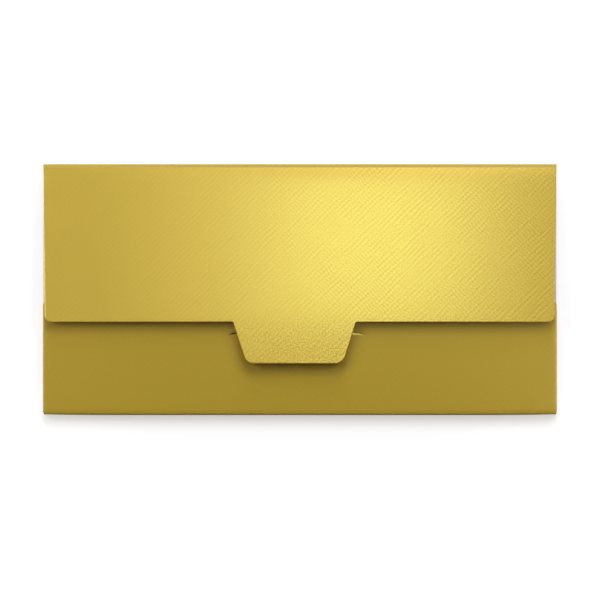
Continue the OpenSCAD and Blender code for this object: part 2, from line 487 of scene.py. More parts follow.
def split_sides(loop, longest):
    """Adds points to the long sides of an outline, so that its edge can follow a curved surface."""
    result = []
    for (point, bevel), (after, after_bevel) in around(loop):
        pieces = max(1, math.ceil((after - point).length / longest))
        joined = bevel == 0 and after_bevel == 0
        result.append((point, bevel))
        for step in range(1, pieces):
            share = step / pieces
            mid_bevel = bevel + (after_bevel - bevel) * share
            if not joined:
                mid_bevel = max(mid_bevel, min(CUT_BEVEL, max(bevel, after_bevel)))
            result.append((point.lerp(after, share), mid_bevel))
    return result


def inset_vectors(loop):
    """For each point of an anticlockwise loop, the step into the board that clears its cut by 1."""
    sides = []
    for (point, bevel), (after, after_bevel) in around(loop):
        way = (after - point).normalized()
        sides.append((Vector((-way.y, way.x)), bevel != 0 or after_bevel != 0))
    steps = []
    for index, (after, cut_after) in enumerate(sides):
        before, cut_before = sides[index - 1]
        if cut_before and cut_after:
            steps.append((before + after) / max(SHARPEST_CORNER, 1 + before.dot(after)))
        elif cut_before or cut_after:
            steps.append(before if cut_before else after)
        else:
            steps.append(Vector((0, 0)))
    return steps


def cut_board(name, outline, grid, place, blank, materials, longest, holes=(), thickness=BOARD):
    """A board cut to an outline, with rolled foil at its cut edges and the pale core in the cut.

    place(x, y, h) gives the point h above the inner face, blank(x, y) the point on the flat blank,
    and grid the points inside the outline that let the board follow its curve. Materials are the
    outer face, the cut and the inner face. A side whose two ends have no bevel joins a fold.
    """
    mesh_points, blank_points, faces, slots = [], [], [], []

    def add_point(spot, height):
        mesh_points.append(tuple(place(spot.x, spot.y, height)))
        blank_points.append((*blank(spot.x, spot.y), 0.0))
        return len(mesh_points) - 1

    spots, vertices = [], []
    for loop in (split_sides(entry, longest) for entry in (outline, *holes)):
        ends = list(zip(loop, inset_vectors(loop)))
        flat = [[point + step * (bevel * inset) for (point, bevel), step in ends] for inset, _, _ in RINGS]
        made = []
        for ring, (_, height, _) in zip(flat, RINGS):
            made.append([add_point(spot, height * thickness) for spot in ring])
        for upper, lower, (_, _, slot) in zip(made, made[1:], RINGS[1:]):
            for (a, b), (d, c) in around([*zip(upper, lower)]):
                faces.append((a, b, c, d))
                slots.append(slot)
        spots.append(flat)
        vertices.append(made)

    # The caps are triangulated flat, in the outline's own plane
    for ring, height, slot, flip in ((0, thickness, 0, False), (-1, 0.0, 2, True)):
        rims = [flat[ring] for flat in spots]
        rim_spots = [spot for rim in rims for spot in rim]
        rim_vertices = [vertex for made in vertices for vertex in made[ring]]
        edges = []
        for rim in rims:
            edges += around([*range(len(edges), len(edges) + len(rim))])
        inner = [Vector(spot) for spot in grid]
        points, _, triangles, sources, *_ = delaunay_2d_cdt(
            rim_spots + inner, edges, [], 0, TRIANGLE_SLACK
        )
        known = {}
        for new_index, origin in enumerate(sources):
            old = [entry for entry in origin if entry < len(rim_spots)]
            if old:
                known[new_index] = rim_vertices[old[0]]
        centres = np.array([[sum(points[v][axis] for v in tri) / 3 for axis in (0, 1)] for tri in triangles])
        keep = inside(centres, rims[0])
        for hole in rims[1:]:
            keep &= ~inside(centres, hole)
        for tri, kept in zip(triangles, keep):
            if not kept:
                continue
            for v in tri:
                if v not in known:
                    known[v] = add_point(points[v], height)
            corners = [known[v] for v in tri]
            a, b, c = (points[v] for v in tri)
            turn = (b.x - a.x) * (c.y - a.y) - (b.y - a.y) * (c.x - a.x)
            if (turn < 0) != flip:
                corners.reverse()
            faces.append(tuple(corners))
            slots.append(slot)

    mesh = bpy.data.meshes.new(name)
    mesh.from_pydata(mesh_points, [], faces)
    mesh.polygons.foreach_set("material_index", slots)
    for material in materials:
        mesh.materials.append(material)
    attribute = mesh.attributes.new("blank", "FLOAT_VECTOR", "POINT")
    attribute.data.foreach_set("vector", np.array(blank_points, np.float32).ravel())
    shape = bmesh.new()
    shape.from_mesh(mesh)
    bmesh.ops.remove_doubles(shape, verts=shape.verts, dist=SAME_SPOT)
    bmesh.ops.recalc_face_normals(shape, faces=shape.faces)
    shape.to_mesh(mesh)
    shape.free()
    return shown(name, mesh)


def inside(spots, loop):
    """Which of these points lie inside a closed loop."""
    x, y = spots[:, 0], spots[:, 1]
    result = np.zeros(len(spots), bool)
    for a, b in around(loop):
        if a.y == b.y:
            continue
        crosses = (a.y > y) != (b.y > y)
        at = (b.x - a.x) * (y - a.y) / (b.y - a.y) + a.x
        result ^= crosses & (x < at)
    return result


def grid_inside(columns, rows, outline, clear, holes=()):
    """The points of a grid that lie inside the outline, and clear of every edge."""
    spots = np.array([(x, y) for y in rows for x in columns])
    loops = [[point for point, _ in loop] for loop in (outline, *holes)]
    keep = inside(spots, loops[0])
    for points in loops:
        for a, b in around(points):
            way = b - a
            length = way.length
            if length < TRIANGLE_SLACK:
                continue
            share = np.clip(((spots - np.array(a)) @ np.array(way)) / length ** 2, 0, 1)
            near = np.array(a) + share[:, None] * np.array(way)
            keep &= np.hypot(*(spots - near).T) > clear
    for points in loops[1:]:
        keep &= ~inside(spots, points)
    return [tuple(spot) for spot in spots[keep]]


def spaced(low, high, step):
    count = max(2, round((high - low) / step) + 1)
    return list(np.linspace(low, high, count))


# Shared looks

# The emboss: ribs with a finer set between them, broken into strokes, and a weaker cross set
RIB_SHARE = 0.7
FINE_RIB_SHARE = 0.3
RIB_SWAY = 0.5
CROSS_SWAY = 0.8
CROSS_TURNS = 1.3
STROKE_BREAKS = (0.34, 0.66, 0.2, 1.0)
PATCH_SIZE = 30 * MM
PATCH_EDGES = (0.35, 0.65)

# Seed step and stretch of each noise in the emboss
SWAY_NOISE = (3.1, 0.3)
CROSS_NOISE = (7.7, 0.8)
STROKE_NOISE = (11.7, 0.55)
PATCH_NOISE = (23.0, 1.0)

GRAIN_DETAIL = 2.0
CLOUD_DETAIL = 3.0


def rib_emboss_group():
    """Fine diagonal ribs pressed into the foil, broken into short strokes, with a weaker cross set."""
    tree, t, given, result = node_group("ShaderNodeTree", "rib_emboss", {
        "Vector": ORIGIN, "Pitch": 1.77 * MM, "Angle": math.radians(44), "Stroke": 9 * MM,
        "Cross": 0.5, "Seed": 0.0,
    }, ["Height"])
    turned = t.node("ShaderNodeVectorRotate", rotation_type="Z_AXIS")
    t.fill(turned, Vector=given["Vector"], Angle=t.times(given["Angle"], -1.0))
    along, across, _ = t.parts(turned.outputs[0])
    stroke_along = t.over(along, given["Stroke"])
    stroke_across = t.over(across, given["Pitch"])

    def noise(x, y, seed_step, stretch):
        return t.noise(t.joined(x, t.times(y, stretch), t.plus(given["Seed"], seed_step)))

    def wave(phase, turns):
        return t.calc("SINE", t.times(phase, turns * 2 * math.pi))

    sway = t.times(t.minus(noise(stroke_along, stroke_across, *SWAY_NOISE), 0.5), RIB_SWAY)
    phase = t.plus(stroke_across, sway)
    ribs = t.plus(t.times(wave(phase, 1), RIB_SHARE), t.times(wave(phase, 2), FINE_RIB_SHARE))
    cross_sway = t.times(noise(stroke_across, stroke_along, *CROSS_NOISE), CROSS_SWAY)
    cross = wave(t.plus(t.over(along, given["Pitch"]), cross_sway), CROSS_TURNS)
    strokes = t.ramp(noise(stroke_along, stroke_across, *STROKE_NOISE), *STROKE_BREAKS)
    wide_noise = noise(t.over(along, PATCH_SIZE), t.over(across, PATCH_SIZE), *PATCH_NOISE)
    patches = t.ramp(wide_noise, *PATCH_EDGES)
    pressed = t.times(ribs, strokes)
    t.feed(result["Height"], t.plus(pressed, t.times(cross, t.times(given["Cross"], patches))))
    return tree


def fine_grain_group():
    """Two sizes of small uneven grain, for foil, paper fibre and glue."""
    tree, t, given, result = node_group("ShaderNodeTree", "fine_grain", {
        "Vector": ORIGIN, "Size": 0.3 * MM, "Stretch": 1.0, "Coarse Size": 4 * MM,
    }, ["Grain", "Clouds"])
    x, y, z = t.parts(given["Vector"])
    stretched = t.joined(t.over(x, given["Stretch"]), y, z)
    t.feed(result["Grain"], t.noise(stretched, t.over(1.0, given["Size"]), GRAIN_DETAIL))
    t.feed(result["Clouds"], t.noise(given["Vector"], t.over(1.0, given["Coarse Size"]), CLOUD_DETAIL))
    return tree


RIBS = rib_emboss_group()
GRAIN = fine_grain_group()


def material_tree(name):
    material = bpy.data.materials.new(name)
    material.use_nodes = True
    return material, Tree(material.node_tree), material.node_tree.nodes["Principled BSDF"]


def use_group(t, group, vector, **values):
    made = t.node("ShaderNodeGroup")
    made.node_tree = group
    return t.fill(made, Vector=vector, **values).outputs


def blank_place(t):
    """The point on the flat blank that each board piece carries, so patterns run over the folds."""
    return t.node("ShaderNodeAttribute", attribute_name="blank").outputs["Vector"]


def two_tones(t, factor, first, second):
    mix = t.fill(t.node("ShaderNodeMix", data_type="RGBA"), Factor=factor)
    for socket, colour in zip(mix.inputs[6:8], (first, second)):
        socket.default_value = (*colour, 1)
    return mix.outputs[2]


def bumped(t, shader, height, distance, strength=1.0):
    bump = t.fill(t.node("ShaderNodeBump"), Strength=strength, Distance=distance, Height=height)
    t.fill(shader, Normal=bump.outputs[0])


# Gold foil

GOLD = (0.82, 0.57, 0.052)
# A pale cream towards which the fold foil's gold is mixed
PALE_CREAM_FOIL = (0.8, 0.74, 0.62)
GOLD_METAL_SHARE = 0.4
GOLD_ROUGHNESS = 0.17
ROUGHNESS_SPREAD = 0.03
LACQUER_IOR = 1.45
FILM_ROUGHNESS = 0.22
RELIEF = 0.004 * MM
FOIL_GRAIN = 0.64 * MM
FOIL_CLOUDS = 9 * MM
GRAIN_SHARE = 4.2
GRAIN_MIDDLE = 0.485
# How strongly the emboss's height is painted into the base colour: painted highlight on its crests and
# painted shade in its valleys
RELIEF_SHADE_SLOPE = 0.25
CREST_PAINTED_LIGHT = 1.25
VALLEY_PAINTED_SHADE = 0.73
# Across the flap, the painted crest and valley tones grow from this share to full towards the right
PAINTED_RELIEF_X = (-85 * MM, 60 * MM)
PAINTED_RELIEF_SHARE = (0.14, 1.0)
TONGUE_GRAIN_Y = (-60 * MM, -72 * MM)
TONGUE_GRAIN_SHARE = (1.0, 2.9)


def gold_foil(name, painted_shade_tone=1.0, roughness=GOLD_ROUGHNESS, painted_relief_contrast=0.5, film=1.0, gloss=0.5,
              metal=GOLD_METAL_SHARE, paled=0.0, uneven=False, ribbed=0.9, seed=0.0):
    """Embossed gold foil laminated on board: metal pigment in a satin lacquer, under a clear film. Its base
    colour is painted lighter on the emboss's crests and darker in its valleys, as painted highlight and
    shade of the relief, and a whole copy can be painted darker as painted shade.
    """
    material, t, shader = material_tree(name)
    place = blank_place(t)
    ribs = use_group(t, RIBS, place, Seed=seed)
    grain = use_group(t, GRAIN, place, Size=FOIL_GRAIN, Coarse_Size=FOIL_CLOUDS)
    # On the flap the painted crest and valley tones grow stronger towards the right, where its highlight
    # lies, and its grain stands out more on the tongue, in its bump and its painted tones
    across, along, _ = t.parts(place)
    depth = t.ramp(across, *PAINTED_RELIEF_X, *PAINTED_RELIEF_SHARE) if uneven else 1.0
    tongue = t.ramp(along, *TONGUE_GRAIN_Y, *TONGUE_GRAIN_SHARE) if uneven else 1.0
    grain_lift = t.times(t.minus(grain["Grain"], GRAIN_MIDDLE), t.times(tongue, GRAIN_SHARE))
    lift = t.calc("MULTIPLY_ADD", ribs["Height"], ribbed, grain_lift)
    bumped(t, shader, lift, RELIEF)
    # The gold is mixed towards a pale cream by this share
    gold = [part * (1 - paled) + pale * paled for part, pale in zip(GOLD, PALE_CREAM_FOIL)]
    # The crests are painted lighter and the valleys darker, as painted highlight and shade, and the whole
    # copy darker by its painted shade tone
    crest_painted_light = [part * painted_shade_tone * CREST_PAINTED_LIGHT for part in gold]
    valley_painted_shade = [part * painted_shade_tone * VALLEY_PAINTED_SHADE for part in gold]
    share = t.calc("MULTIPLY_ADD", t.times(lift, depth), RELIEF_SHADE_SLOPE * painted_relief_contrast, 0.5, clamp=True)
    smoothest = roughness - ROUGHNESS_SPREAD / 2
    t.fill(
        shader, Base_Color=two_tones(t, share, valley_painted_shade, crest_painted_light),
        Roughness=t.calc("MULTIPLY_ADD", grain["Clouds"], ROUGHNESS_SPREAD, smoothest),
        Metallic=metal, IOR=LACQUER_IOR, Specular_IOR_Level=gloss,
        Coat_Weight=film, Coat_Roughness=FILM_ROUGHNESS,
    )
    return material


# Board, insert and glue

BOARD_CLOUDS = 14 * MM
FIBRE_SHARE = 0.6
MOTTLE_EDGES = (0.3, 0.7)
BOARD_RELIEF = 0.01 * MM
BOARD_ROUGHNESS = 0.82
BOARD_ROUGHNESS_SPREAD = 0.1
GLUE_GRAIN = 1.2 * MM
GLUE_CLOUDS = 5 * MM
GLUE_TONES = ((0.8, 0.76, 0.64), (0.9, 0.88, 0.8))
GLUE_ROUGHNESS = (0.2, 0.8, 0.28, 0.5)
GLUE_RELIEF = 0.02 * MM
GLUE_RELIEF_STRENGTH = 0.6


def plain_board(name, light, dark, fibre=0.7 * MM, stretch=3.0):
    """Uncoated board with short fibres and faint clouds."""
    material, t, shader = material_tree(name)
    grain = use_group(t, GRAIN, blank_place(t), Size=fibre, Stretch=stretch, Coarse_Size=BOARD_CLOUDS)
    mottle = t.plus(t.times(grain["Grain"], FIBRE_SHARE), t.times(grain["Clouds"], 1 - FIBRE_SHARE))
    bumped(t, shader, grain["Grain"], BOARD_RELIEF)
    t.fill(
        shader, Base_Color=two_tones(t, t.ramp(mottle, *MOTTLE_EDGES), dark, light),
        Roughness=t.plus(BOARD_ROUGHNESS, t.times(grain["Clouds"], BOARD_ROUGHNESS_SPREAD)),
    )
    return material


def dried_glue():
    material, t, shader = material_tree("dried_glue")
    place = t.node("ShaderNodeTexCoord").outputs["Object"]
    grain = use_group(t, GRAIN, place, Size=GLUE_GRAIN, Coarse_Size=GLUE_CLOUDS)
    bumped(t, shader, grain["Grain"], GLUE_RELIEF, GLUE_RELIEF_STRENGTH)
    t.fill(
        shader, Base_Color=two_tones(t, grain["Clouds"], *GLUE_TONES),
        Roughness=t.ramp(grain["Grain"], *GLUE_ROUGHNESS),
    )
    return material


foil = gold_foil("gold_foil", painted_relief_contrast=0.7)
flap_foil = gold_foil("gold_foil_flap", painted_relief_contrast=1.4, uneven=True)
# The front's foil is painted a little darker than the flap's, as painted shade, with fainter ribs and
# fainter painted crest and valley tones
front_foil_painted_shade = gold_foil("gold_foil_front_painted_shade", painted_shade_tone=0.93, painted_relief_contrast=0.36, ribbed=0.35, seed=4.0)
# The folds' foil is painted darker than the flat foil, as painted shade in the creases, and mixed a little
# towards a pale cream
fold_foil_painted_shade = gold_foil(
    "gold_foil_fold_painted_shade", painted_shade_tone=0.73, roughness=0.4, film=0.0, gloss=0.1, metal=0.15, paled=0.13
)
# The bottom spine's foil is painted darker still, as painted shade along the wallet's foot
spine_foil_painted_shade = gold_foil(
    "gold_foil_bottom_spine_painted_shade", painted_shade_tone=0.64, roughness=0.5, film=0.0, gloss=0.0, metal=0.1
)
core = plain_board(
    "board_core", light=(0.86, 0.78, 0.62), dark=(0.74, 0.64, 0.46), fibre=0.25 * MM, stretch=5.0
)
board_inside = plain_board("board_inside", light=(0.87, 0.85, 0.79), dark=(0.82, 0.79, 0.72))
insert_face = plain_board(
    "insert_board", light=(0.86, 0.82, 0.72), dark=(0.8, 0.755, 0.64), fibre=0.9 * MM, stretch=4.0
)
glue = dried_glue()


# Flap

FLAP_STEPS = 1700
FLAP_EDGE_STEP = 3 * MM
FLAP_COLUMN_STEP = 4.4 * MM
FLAP_CLEAR = 0.62 * MM
# Rows of points by distance: past the crease's leg, over the plain middle, and down the tongue
FLAP_BEND_ROWS = (0.3 * MM, 9 * MM, 0.5 * MM)
FLAP_MIDDLE_ROWS = (13 * MM, 56 * MM, 6 * MM)
FLAP_TONGUE_ROWS = (59 * MM, FLAP_LENGTH + TONGUE_LENGTH, 1.6 * MM)


def flap_lift_at(distance):
    """Angle of the flap above the front, by distance from its crease."""
    lean = (FLAP_LEAN_AT_CREASE - FLAP_LIFT) * math.exp(-(distance - CREASE_LEG) / FLAP_LEAN_FADE)
    past = (distance - TONGUE_BEND_START) / (FLAP_LENGTH + TONGUE_LENGTH - TONGUE_BEND_START)
    past = max(0.0, past)
    ease = past * past * (3 - 2 * past)
    return FLAP_LIFT + lean - (FLAP_LIFT - TONGUE_LIFT) * ease


flap_bend = QUARTER_TURN - FLAP_LEAN_AT_CREASE
bend_radius = CREASE_INNER_RADIUS + BOARD / 2
# The bend of the flap's crease starts on the spine's middle line, a little below the crease
bend_centre = Vector((FLAP_CREASE.y - CREASE_INNER_RADIUS, FLAP_CREASE.z - CREASE_INNER_RADIUS))
bend_end = bend_centre + bend_radius * Vector((math.cos(flap_bend), math.sin(flap_bend)))
bend_tail = CREASE_LEG - bend_radius * flap_bend / 2
flap_way = Vector((-math.sin(flap_bend), math.cos(flap_bend)))
flap_start = bend_end + flap_way * bend_tail

# The flap's curve, summed up from its angle in small steps
flap_runs = np.linspace(CREASE_LEG, FLAP_LENGTH + TONGUE_LENGTH + MM, FLAP_STEPS)
flap_angles = np.array([flap_lift_at(run) for run in flap_runs])
run_step = flap_runs[1] - flap_runs[0]
flap_outs = flap_start.x - np.concatenate(([0.0], np.cumsum(np.cos(flap_angles[:-1])))) * run_step
flap_ups = flap_start.y + np.concatenate(([0.0], np.cumsum(np.sin(flap_angles[:-1])))) * run_step


def flap_place(x, y, height):
    """y is minus the distance from the crease; the height is counted from the inner face."""
    angle, out, up = (float(np.interp(-y, flap_runs, entry)) for entry in (flap_angles, flap_outs, flap_ups))
    offset = height - BOARD / 2
    return Vector((x, out + offset * math.sin(angle), up + offset * math.cos(angle)))


def flap_outline():
    top_x = SIDE_X - SIDE_INSET
    tip = -FLAP_LENGTH - TONGUE_LENGTH
    half_tip = TONGUE_WIDTH / 2 - TONGUE_LENGTH * math.tan(TONGUE_SLOPE)
    root_left = -TONGUE_LEFT - TONGUE_WIDTH / 2
    root_right = -TONGUE_LEFT + TONGUE_WIDTH / 2
    return rounded([
        (top_x, -CREASE_LEG, 0, 0),
        (-top_x, -CREASE_LEG, 0, 0),
        (-top_x + FLAP_LEFT_TAPER, -FLAP_LENGTH, FLAP_RADIUS, RIM_BEVEL),
        (root_left, -FLAP_LENGTH, TONGUE_ROOT_RADIUS, TONGUE_BEVEL),
        (-TONGUE_LEFT - half_tip, tip, TONGUE_RADIUS, TONGUE_BEVEL),
        (-TONGUE_LEFT + half_tip, tip, TONGUE_RADIUS, CUT_BEVEL),
        (root_right, -FLAP_LENGTH, TONGUE_ROOT_RADIUS, CUT_BEVEL),
        (top_x - FLAP_RIGHT_TAPER, -FLAP_LENGTH, FLAP_RADIUS, CUT_BEVEL),
    ])


def make_flap():
    outline = flap_outline()
    rows = [-CREASE_LEG - step for step in spaced(*FLAP_BEND_ROWS)]
    rows += [-run for run in spaced(*FLAP_MIDDLE_ROWS) + spaced(*FLAP_TONGUE_ROWS)]
    columns = spaced(-SIDE_X + MM, SIDE_X - MM, FLAP_COLUMN_STEP)
    grid = grid_inside(columns, rows, outline, FLAP_CLEAR)
    piece = cut_board(
        "flap_panel", outline, grid, flap_place, lambda x, y: (x, y),
        (flap_foil, core, board_inside), FLAP_EDGE_STEP,
    )
    placed(piece, "flap", "closure_flap")


# Front of the pocket

FRONT_EDGE_STEP = 3 * MM
FRONT_COLUMN_STEP = 3.4 * MM
FRONT_CLEAR = 0.42 * MM
# Rows of points: above the bottom fold, up to the slit, across the slit, and up to the mouth
FRONT_FOLD_ROWS = (0.35 * MM, 6 * MM, 0.5 * MM)
FRONT_LOWER_ROWS = (FOLD_Y + 8 * MM, SLIT_Y - 5 * MM, 4 * MM)
FRONT_SLIT_ROWS = (SLIT_Y - 3.4 * MM, SLIT_Y + 2.6 * MM, 0.3 * MM)
FRONT_UPPER_ROWS = (SLIT_Y + 7 * MM, MOUTH_Y - MM, 3 * MM)
# Closer columns over each end of the slit, and beside the two gusset folds
LIP_MIDDLE = 0.4
LIP_COLUMN_REACH = 6.3 * MM
LIP_COLUMN_STEP = 0.42 * MM
SIDE_COLUMNS = (1.5 * MM, 2.6 * MM, 4 * MM, 5.6 * MM, 7.5 * MM)

slit_straight = SLIT_LENGTH - 2 * SLIT_END_RADIUS * math.sin(SLIT_END_TURN)


def slit_line(share):
    """A point on the slit's middle line, -1 at its left end and 1 at its right end, and its slope."""
    run = share * (slit_straight / 2 + SLIT_END_RADIUS * SLIT_END_TURN)
    beyond = abs(run) - slit_straight / 2
    if beyond <= 0:
        return Vector((SLIT_X + run, SLIT_Y)), 0.0
    turn = beyond / SLIT_END_RADIUS
    x = slit_straight / 2 + SLIT_END_RADIUS * math.sin(turn)
    y = -SLIT_END_RADIUS * (1 - math.cos(turn))
    side = math.copysign(1, run)
    return Vector((SLIT_X + side * x, SLIT_Y + y)), -side * turn


def slit_outline():
    """The slit as a clockwise loop, with wider bevels where its lips show their cut."""
    lower, upper = [], []
    for step in range(SLIT_STEPS + 1):
        share = 2 * step / SLIT_STEPS - 1
        point, slope = slit_line(share)
        normal = Vector((-math.sin(slope), math.cos(slope)))
        width = SLIT_LEFT_WIDTH if share < 0 else SLIT_RIGHT_WIDTH
        half = width / 2 * (1 - abs(share) ** SLIT_END_POWER * SLIT_END_NARROWING)
        bevel = SLIT_RIGHT_END_BEVEL if share > SLIT_RIGHT_END else SLIT_LOWER_BEVEL
        lower.append((point - normal * half, bevel))
        upper.append((point + normal * half, SLIT_UPPER_BEVEL))
    return upper + lower[::-1]


def slit_rise(x, y):
    """How far the board sinks beside the slit's ends, where both lips are pressed in, and its slope."""
    side = 1 if x > SLIT_X else -1
    along = (x - SLIT_X) * side / (SLIT_LENGTH / 2)
    if along > 1.0 or along < LIP_START:
        return 0.0, 0.0
    line, _ = slit_line(side * along)
    below = line.y - y
    share = math.sin(math.pi * (along - LIP_START) / (1 - LIP_START)) ** LIP_FULLNESS
    if side < 0:
        share *= LIP_LEFT_SHARE
    if below <= 0:
        share *= LIP_UPPER_SHARE
    rise = -LIP_SINK * share * math.exp(-abs(below) / LIP_CURL)
    return rise, (rise if below > 0 else -rise) / LIP_CURL


def front_place(x, y, height):
    """The front falls a little towards its folds, and its surface turns with the slit's lips."""
    fall = max(0.0, 1 - (y - FOLD_Y) / FRONT_DROP_RUN) ** 2 * FRONT_DROP
    side_fall = max(0.0, 1 - (CUT_FRONT_X - abs(x)) / SIDE_DROP_RUN) ** 2 * SIDE_DROP
    rise, slope = slit_rise(x, y)
    return Vector((x, y - height * slope, FRONT_Z + height - max(fall, side_fall) + rise))


def make_front():
    outline = rounded([
        (-CUT_FRONT_X, FOLD_Y, 0, 0),
        (CUT_FRONT_X, FOLD_Y, 0, 0),
        (CUT_FRONT_X, MOUTH_Y, MOUTH_RADIUS, CUT_BEVEL),
        (-CUT_FRONT_X, MOUTH_Y, MOUTH_RADIUS, CUT_BEVEL),
    ])
    slit = slit_outline()
    rows = [FOLD_Y + step for step in spaced(*FRONT_FOLD_ROWS)]
    for band in (FRONT_LOWER_ROWS, FRONT_SLIT_ROWS, FRONT_UPPER_ROWS):
        rows += spaced(*band)
    columns = spaced(-CUT_FRONT_X + MM, CUT_FRONT_X - MM, FRONT_COLUMN_STEP)
    for end in (-1, 1):
        middle = SLIT_X + end * SLIT_LENGTH * LIP_MIDDLE
        columns += spaced(middle - LIP_COLUMN_REACH, middle + LIP_COLUMN_REACH, LIP_COLUMN_STEP)
        columns += [end * (CUT_FRONT_X - step) for step in SIDE_COLUMNS]
    grid = grid_inside(sorted(columns), rows, outline, FRONT_CLEAR, [slit])
    piece = cut_board(
        "front_of_pocket", outline, grid, front_place, lambda x, y: (x, y + FRONT_BLANK),
        (front_foil_painted_shade, core, board_inside), FRONT_EDGE_STEP, [slit],
    )
    placed(piece, "wallet", "front_panel")


# Back, spines, gussets and tabs

BACK_EDGE_STEP = 6 * MM
BACK_CLEAR = 0.5 * MM
TAB_EDGE_STEP = 4 * MM
TAB_COLUMN_STEP = 2.6 * MM
TAB_ROW_STEP = 4 * MM
TAB_CLEAR = 0.4 * MM
SPINE_WIDTH = BODY_WIDTH - 2 * SIDE_INSET
BEND_LEG = CREASE_LEG - CREASE_INNER_RADIUS

UP = (0, 0, 1)
RIGHT = (1, 0, 0)
LEFT = (-1, 0, 0)
TO_TOP = (0, 1, 0)
TO_BOTTOM = (0, -1, 0)

FOLDED_BOARD = folded_board_tree()
GLUE_BEAD = glue_bead_tree()


def axes(origin, out, along, up):
    """The transform that puts a grown piece's out, along and up directions into the wallet."""
    return Matrix.Translation(origin) @ Matrix((out, along, up)).transposed().to_4x4()


def folded(name, outer, place, **sizes):
    """A piece of the board folded round creases, with this foil on its outer face."""
    return grown(name, FOLDED_BOARD, place, Foil=outer, Core=core, Inside=board_inside, **sizes)


def make_back():
    cut_x = SIDE_X - BACK_INSET
    top = CREASE_Y - CREASE_LEG
    notch_y = gusset_low.y - NOTCH_GAP
    right = rounded([
        (CUT_FRONT_X, FOLD_Y, 0, 0),
        (CUT_FRONT_X, notch_y, 0, NO_BEVEL),
        (FOLD_X, notch_y, 0, NO_BEVEL),
        (FOLD_X, gusset_high.y, 0, 0),
        (cut_x, gusset_high.y, 0, CUT_BEVEL),
        (cut_x, top, 0, 0),
    ])
    left, _ = turned_over(right, [])
    outline = left[-1:] + right + left[:-1]
    columns = spaced(-FOLD_X + MM, FOLD_X - MM, BACK_EDGE_STEP)
    rows = spaced(FOLD_Y + MM, top - MM, BACK_EDGE_STEP)
    # The outer face looks down, so the plan is turned over
    outline, grid = turned_over(outline, grid_inside(columns, rows, outline, BACK_CLEAR))
    piece = cut_board(
        "back_of_wallet", outline, grid, lambda x, y, h: Vector((-x, y, BOARD - h)),
        lambda x, y: (-x, BACK_BLANK - y), (foil, core, board_inside), BACK_EDGE_STEP,
    )
    placed(piece, "wallet", "back_panel")


def make_bottom_spine():
    inner = FOLD_Y - (spine_low.y + SPINE_BULGE) - BOARD
    radius = inner + BOARD / 2
    top_angle = QUARTER_TURN - 2 * FRONT_DROP / FRONT_DROP_RUN
    wall_top = FRONT_Z + BOARD / 2 - FRONT_DROP - radius * math.sin(top_angle)
    piece = folded(
        "bottom_spine_fold", spine_foil_painted_shade, axes((0, FOLD_Y, BOARD / 2), TO_BOTTOM, LEFT, UP),
        Width=2 * CUT_FRONT_X, Inner_Radius=inner, Wall=wall_top - BOARD / 2 - radius,
        Second_Bend=top_angle, Bulge=SPINE_BULGE, Rows=44, Columns=90, Blank_Start=0.21,
    )
    placed(piece, "wallet", "bottom_spine")


def make_gusset(side, word):
    middle = (gusset_high.y + gusset_low.y) / 2
    piece = folded(
        f"{word}_gusset_fold", fold_foil_painted_shade,
        axes((side * FOLD_X, middle, BOARD / 2), (side, 0, 0), (0, side, 0), UP),
        Width=gusset_high.y - gusset_low.y, Inner_Radius=FOLD_RADIUS - BOARD,
        Wall=gusset_high.z - 2 * FOLD_RADIUS, Rows=40, Columns=30, Blank_Start=0.4,
    )
    placed(piece, "wallet", f"{word}_gusset")


def make_glue_tab(side, word):
    inner_x = SIDE_X - TAB_WIDTH
    rise = (FOLD_X - inner_x) * math.tan(TAB_MITRE)
    outline = rounded([
        (FOLD_X, tab_low.y, 0, 0),
        (FOLD_X, tab_high.y, 0, 0),
        (inner_x, tab_high.y - rise, TAB_RADIUS, CUT_BEVEL),
        (inner_x, tab_low.y + rise, TAB_RADIUS, CUT_BEVEL),
    ])
    columns = spaced(inner_x + MM, FOLD_X - MM, TAB_COLUMN_STEP)
    rows = spaced(tab_low.y + MM, tab_high.y - MM, TAB_ROW_STEP)
    grid = grid_inside(columns, rows, outline, TAB_CLEAR)
    if side < 0:
        outline, grid = turned_over(outline, grid)
    # The tab is folded back on itself, so its foil looks up at the front panel
    piece = cut_board(
        f"{word}_tab", outline, grid, lambda x, y, h: Vector((x, y, tab_low.z + h)),
        lambda x, y: (y + TAB_BLANK, x), (foil, core, board_inside), TAB_EDGE_STEP,
    )
    placed(piece, "wallet", f"{word}_glue_tab")


def make_glue_line(side, word):
    middle = (glue_low + glue_high) / 2
    size = glue_high - glue_low
    piece = grown(
        f"{word}_line_of_glue", GLUE_BEAD, Matrix.Translation((side * middle.x, middle.y, middle.z)),
        Length=size.y, Width=size.x, Thickness=size.z, Seed=GLUE_LINE_SEED + side, Material=glue,
    )
    placed(piece, "wallet", f"{word}_glue_line")


def spine_part(name, origin, out, up, **sizes):
    """A strip of board across the spine's whole width, with one bend at most."""
    return folded(
        name, fold_foil_painted_shade, axes(origin, out, RIGHT, up), Width=SPINE_WIDTH,
        Inner_Radius=CREASE_INNER_RADIUS, Wall=0.0, Second_Bend=0.0, Columns=60, **sizes
    )


def make_spine_fold():
    """The bend at the back's top crease: the back's at one end and the spine's at the other."""
    piece = spine_part(
        "spine_crease_bend", (0, CREASE_Y - CREASE_INNER_RADIUS, BOARD / 2), TO_TOP, UP,
        First_Leg=BEND_LEG, Second_Leg=BEND_LEG, Rows=30, Blank_Start=-0.02,
    )
    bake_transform(piece)


def make_top_spine():
    piece = spine_part(
        "top_spine_wall", (0, CREASE_Y + BOARD / 2, SPINE_CREASE.z + CREASE_LEG), UP, TO_BOTTOM,
        First_Bend=0.0, Second_Leg=FLAP_CREASE.z - SPINE_CREASE.z - 2 * CREASE_LEG, Rows=12,
    )
    placed(piece, "spine", "top_spine")


